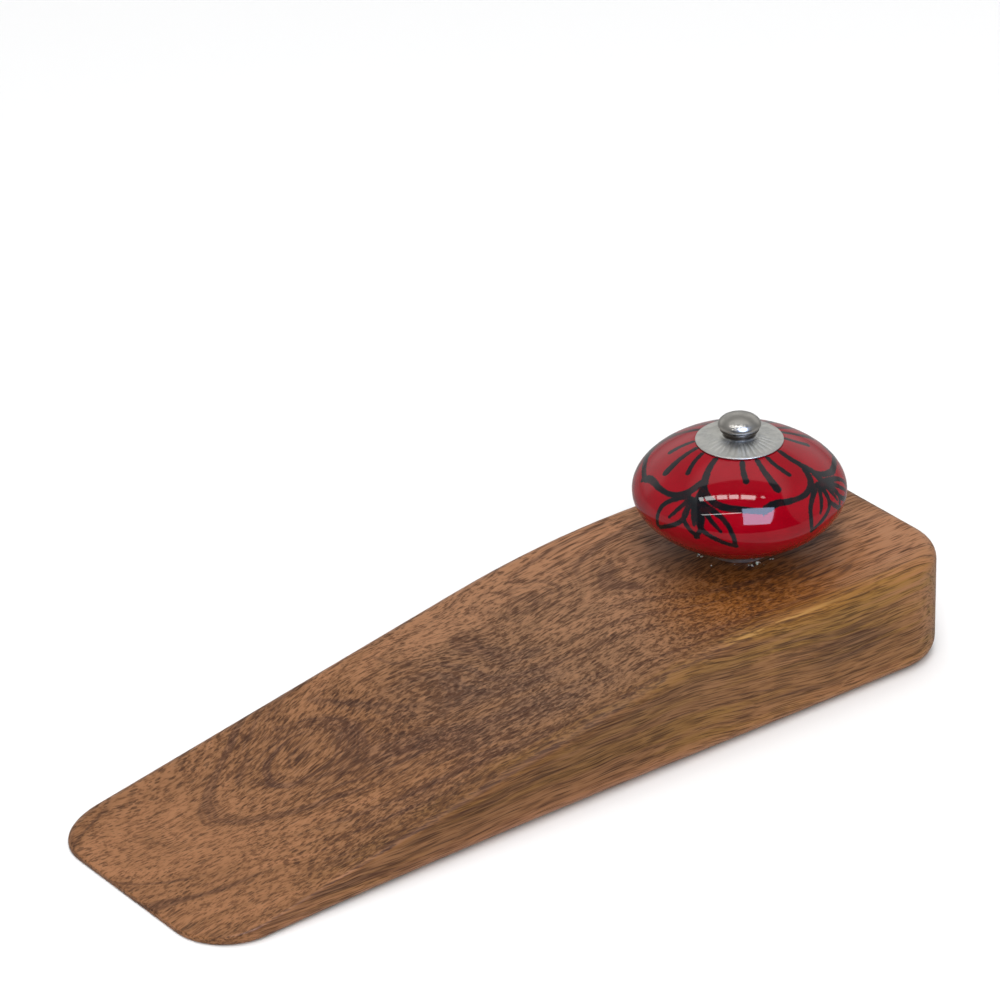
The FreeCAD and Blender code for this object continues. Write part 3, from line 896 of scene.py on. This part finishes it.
def dark_room(g, forward, sideways, upward):
    """How much of each direction is the room in front of the object, between its two sides."""
    left_edge = g.math("MULTIPLY_ADD", forward, *ROOM_LEFT)
    lean = g.math("MULTIPLY", upward, ROOM_RIGHT_LEAN)
    right_edge = g.math("SUBTRACT", g.math("MULTIPLY_ADD", forward, *ROOM_RIGHT), lean)
    within = g.fade(g.math("ADD", left_edge, sideways), *ROOM_EDGE)
    within = g.math("MULTIPLY", within, g.fade(g.math("SUBTRACT", right_edge, sideways), *ROOM_EDGE))
    within = g.math("MULTIPLY", within, g.fade(upward, *ROOM_UP))
    return g.math("MULTIPLY", within, g.fade(forward, *ROOM_FORWARD))


def studio_world():
    """White walls on three sides, and a dim room in front of and above the object."""
    world = bpy.data.worlds.new("studio")
    bpy.context.scene.world = world
    world.use_nodes = True
    g = Graph(world.node_tree)
    towards = g.node("ShaderNodeTexCoord").outputs["Generated"]
    forward = g.vector("DOT_PRODUCT", towards, tuple(direction(CAMERA_AZIMUTH, 0)))
    sideways = g.vector("DOT_PRODUCT", towards, tuple(direction(CAMERA_AZIMUTH + 90, 0)))
    upward = g.node("ShaderNodeSeparateXYZ", {"Vector": towards}).outputs["Z"]
    back = g.math("MULTIPLY", g.fade(forward, *BACK_WALL_FORWARD), g.fade(upward, *BACK_WALL_UP))
    walls = g.fade(back, 0.0, 1.0, SIDE_WALLS, BACK_WALL)
    walls = g.math("ADD", walls, g.fade(upward, *CEILING_UP, 0.0, BRIGHT_CEILING - SIDE_WALLS))
    walls = g.math("ADD", walls, g.fade(upward, *GROUND_UP, 0.0, WHITE_BELOW - SIDE_WALLS))
    backdrop = g.math("MULTIPLY", g.fade(upward, *BACKDROP_UP), g.fade(forward, *BACKDROP_FORWARD))
    walls = g.math("MULTIPLY", walls, g.math("MULTIPLY_ADD", backdrop, BACKDROP - 1.0, 1.0))
    within = dark_room(g, forward, sideways, upward)
    room = g.math("MULTIPLY", within, g.fade(forward, *ROOM_DARKENS, DIM_CEILING, DARK_ROOM))
    outside = g.math("MULTIPLY", g.math("SUBTRACT", 1.0, within), walls)
    strength = g.math("ADD", room, outside)
    background = g.node("ShaderNodeBackground", {"Color": (1, 1, 1, 1), "Strength": strength})
    g.finish(background.outputs[0], "ShaderNodeOutputWorld")


def lights():
    """A soft key light from above, and the window, ceiling tubes and strip that show in the gloss."""
    studio_world()
    mirrored = [panel("window", *WINDOW, WINDOW_COLOUR)]
    first, last = (direction(*d) for d in CEILING_TUBE)
    for i, span in enumerate(TUBE_SPANS):
        ends = [bearing(first.lerp(last, share)) for share in span]
        mirrored.append(panel(f"tube_{i}", *ends, TUBE_WIDTH, TUBE_RADIANCE))
    mirrored.append(panel("strip", *STRIP))
    mirrored.append(panel("spot", *SPOT))
    for light in mirrored:
        light.visible_diffuse = False
    for light in (panel("key", *KEY), panel("fill", *FILL)):
        light.visible_glossy = False


def floor():
    """The plain floor that the wedge stands on."""
    half = FLOOR_HALF_WIDTH / MM
    points = [(-half, -half, 0), (half, -half, 0), (half, half, 0), (-half, half, 0)]
    made = new_object("floor", points, [(0, 1, 2, 3)], [floor_paper()])
    made.visible_glossy = False


def camera():
    """The camera, aimed so that the wedge sits low in the picture."""
    data = bpy.data.cameras.new("camera")
    data.sensor_width = SENSOR_WIDTH
    data.lens = LENS
    data.clip_start, data.clip_end = CAMERA_CLIP
    made = bpy.data.objects.new("camera", data)
    towards = direction(CAMERA_AZIMUTH, CAMERA_ELEVATION)
    made.location = Vector(CAMERA_AIM) + towards * CAMERA_DISTANCE
    made.rotation_euler = towards.to_track_quat("Z", "Y").to_euler()
    made.rotation_euler.rotate_axis("Z", math.radians(CAMERA_ROLL))
    bpy.context.scene.collection.objects.link(made)
    bpy.context.scene.camera = made


def finish_cad_nodes():
    """Gives the CAD pieces that stay their materials."""
    zinc = metal("zinc_plated_steel", ZINC, 0.46, 0.58, 0.5)
    # heights of the painted shade under the bolt's head
    groove = [BOLT_HIGH.z - depth for depth in GROOVE_BELOW_TOP]
    polished = metal("polished_nickel", POLISHED_NICKEL, 0.27, 0.34, 0.5, groove)
    finishes = {
        "wedge_block": wood(),
        "base_plate": zinc,
        "knob_bolt": polished,
        "plain_washer": zinc,
        "lock_washer": zinc,
        "hex_nut": zinc,
    }
    for node, material in finishes.items():
        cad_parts[node].data.materials[0] = material


camera()
lights()
floor()
finish_cad_nodes()
ceramic_knob()
fluted_cap()
glue_crumbs()
bpy.context.scene.view_settings.view_transform = "Standard"
